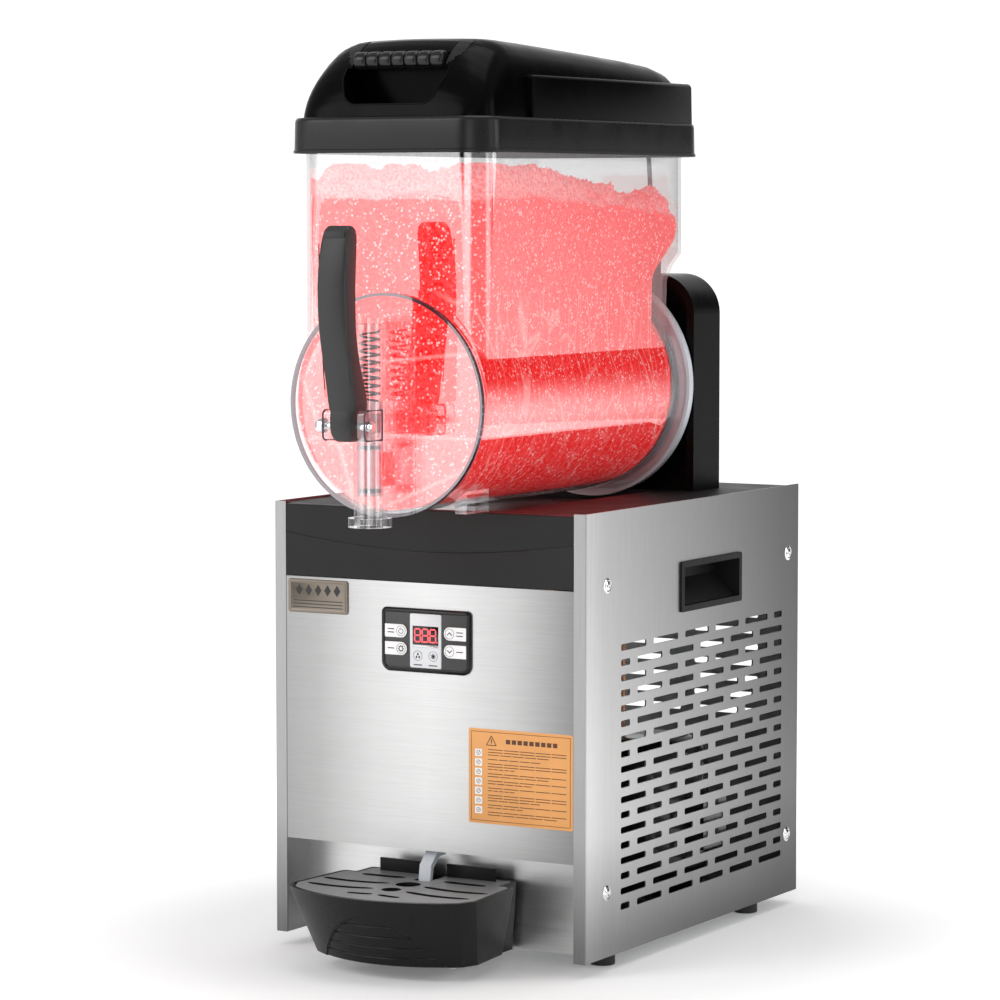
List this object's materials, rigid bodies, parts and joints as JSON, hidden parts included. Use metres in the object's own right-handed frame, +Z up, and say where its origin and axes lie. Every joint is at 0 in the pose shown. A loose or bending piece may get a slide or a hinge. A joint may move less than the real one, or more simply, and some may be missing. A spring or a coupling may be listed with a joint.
{
  "type": "slushie machine",
  "caption": "Countertop frozen-drink machine: clear bowl over a horizontal freezing drum, lever tap, lidded hopper, drip tray and louvred steel refrigeration cabinet.",
  "frame": {"origin": "middle of the overall footprint, tap handle to rear inlet, on the bottom of the feet", "axes": "+Z up, +X to the right as the customer at the tap sees it, +Y from the tap to the rear column"},
  "size_m": [0.3302, 0.598, 0.8305],
  "materials": {
    "brushed_stainless": "vertically and horizontally brushed stainless steel sheet",
    "zinc_steel": "plain zinc-plated sheet",
    "black_plastic": "fine-grained black moulding",
    "satin_black": "satin black moulding",
    "gloss_black": "polished black moulding",
    "clear_polycarbonate": "clear polycarbonate moulding",
    "red_slush": "frozen drink, speckled with ice",
    "white_plastic": "white moulding",
    "grey_panel": "light grey printed overlay",
    "display_glass": "dark display window",
    "grey_silicone": "light grey silicone",
    "black_rubber": "black rubber",
    "pewter_plate": "anodised pewter-brown plate",
    "orange_label": "orange printed label",
    "grid_plastic": "mid-grey moulding",
    "steel": "plain steel",
    "stainless_drum": "polished stainless steel",
    "auger_white": "white food-grade moulding",
    "spring_steel": "bright spring wire",
    "black_enamel": "black enamel",
    "aluminium_fins": "bare aluminium fins",
    "copper": "copper",
    "motor_grey": "grey cast housing",
    "circuit_board": "green circuit board",
    "frosted_lens": "frosted white lens",
    "lead_grey": "dark grey lead",
    "stainless_pin": "polished stainless steel"
  },
  "bodies": {
    "root": {"side_panel_left": "brushed_stainless", "side_panel_right": "brushed_stainless", "handle_recess_left": "black_plastic", "handle_recess_right": "black_plastic", "front_panel": "brushed_stainless", "lower_front_panel": "brushed_stainless", "rear_panel": "zinc_steel", "fascia": "black_plastic", "top_deck": "black_plastic", "base_plate": "zinc_steel", "feet": "black_rubber", "panel_screws": "steel", "control_bezel": "gloss_black", "control_overlay": "grey_panel", "display_window": "display_glass", "control_board": "circuit_board", "badge_plate": "pewter_plate", "caution_label": "orange_label", "column_frame": "satin_black", "column_rear_cover": "satin_black", "evaporator_drum": "stainless_drum", "bowl_seal": "grey_silicone", "shaft_seal": "black_rubber", "gearmotor": "motor_grey", "tray_bracket": "steel", "drain_spout": "grey_silicone", "compressor": "black_enamel", "condenser": "aluminium_fins", "fan_shroud": "zinc_steel", "fan_motor": "motor_grey", "refrigerant_pipes": "copper", "filter_drier": "copper", "power_inlet": "black_plastic", "lamp_dock": "satin_black"},
    "auger": {"auger_spiral": "auger_white", "drive_shaft": "steel", "auger_nose": "auger_white"},
    "fan": {"fan_blades": "black_plastic"},
    "bowl": {"bowl": "clear_polycarbonate", "slush": "red_slush", "tap_body": "clear_polycarbonate", "tap_cap": "clear_polycarbonate", "pivot_pin": "stainless_pin", "tap_spring": "spring_steel"},
    "piston": {"piston": "white_plastic", "piston_rings": "black_rubber"},
    "handle": {"tap_handle": "black_plastic"},
    "lid": {"lid_shell": "satin_black", "lid_grip": "gloss_black", "lamp_lens": "frosted_lens", "lamp_lead": "lead_grey", "lead_plug": "black_rubber"},
    "tray": {"drip_tray": "black_plastic"},
    "grid": {"drip_grid": "grid_plastic"},
    "power_key": {"key_power": "white_plastic"},
    "setup_key": {"key_setup": "white_plastic"},
    "up_key": {"key_up": "white_plastic"},
    "down_key": {"key_down": "white_plastic"}
  },
  "joints": [
    {"name": "bowl_slide", "type": "slide", "parent": "root", "child": "bowl", "axis": [0, -1, 0], "range_m": [0, 0.36]},
    {"name": "lid_lift", "type": "slide", "parent": "bowl", "child": "lid", "axis": [0, 0, 1], "range_m": [0, 0.15]},
    {"name": "tap_handle_turn", "type": "hinge", "parent": "bowl", "child": "handle", "pos_m": [0, -0.27095, 0.493], "axis": [1, 0, 0], "range_deg": [0, 40], "stiffness_Nm_per_rad": 1.2, "springref_deg": -14.32},
    {"name": "piston_lift", "type": "slide", "parent": "bowl", "child": "piston", "axis": [0, 0, 1], "range_m": [0, 0.024], "deforming": ["tap_spring"]},
    {"name": "auger_spin", "type": "hinge", "parent": "root", "child": "auger", "pos_m": [0, 0.01205, 0.513], "axis": [0, 1, 0], "continuous": true},
    {"name": "fan_spin", "type": "hinge", "parent": "root", "child": "fan", "pos_m": [-0.1, 0.04205, 0.132], "axis": [1, 0, 0], "continuous": true},
    {"name": "tray_slide", "type": "slide", "parent": "root", "child": "tray", "axis": [0, -1, 0], "range_m": [0, 0.2]},
    {"name": "grid_lift", "type": "slide", "parent": "tray", "child": "grid", "axis": [0, 0, 1], "range_m": [0, 0.012]},
    {"name": "power_key_press", "type": "slide", "parent": "root", "child": "power_key", "axis": [0, 1, 0], "range_m": [0, 0.0006], "stiffness_N_per_m": 600},
    {"name": "setup_key_press", "type": "slide", "parent": "root", "child": "setup_key", "axis": [0, 1, 0], "range_m": [0, 0.0006], "stiffness_N_per_m": 600},
    {"name": "up_key_press", "type": "slide", "parent": "root", "child": "up_key", "axis": [0, 1, 0], "range_m": [0, 0.0006], "stiffness_N_per_m": 600},
    {"name": "down_key_press", "type": "slide", "parent": "root", "child": "down_key", "axis": [0, 1, 0], "range_m": [0, 0.0006], "stiffness_N_per_m": 600}
  ],
  "couplings": [
    {"joint": "piston_lift", "follows": "tap_handle_turn", "m_per_rad": 0.0341}
  ]
}
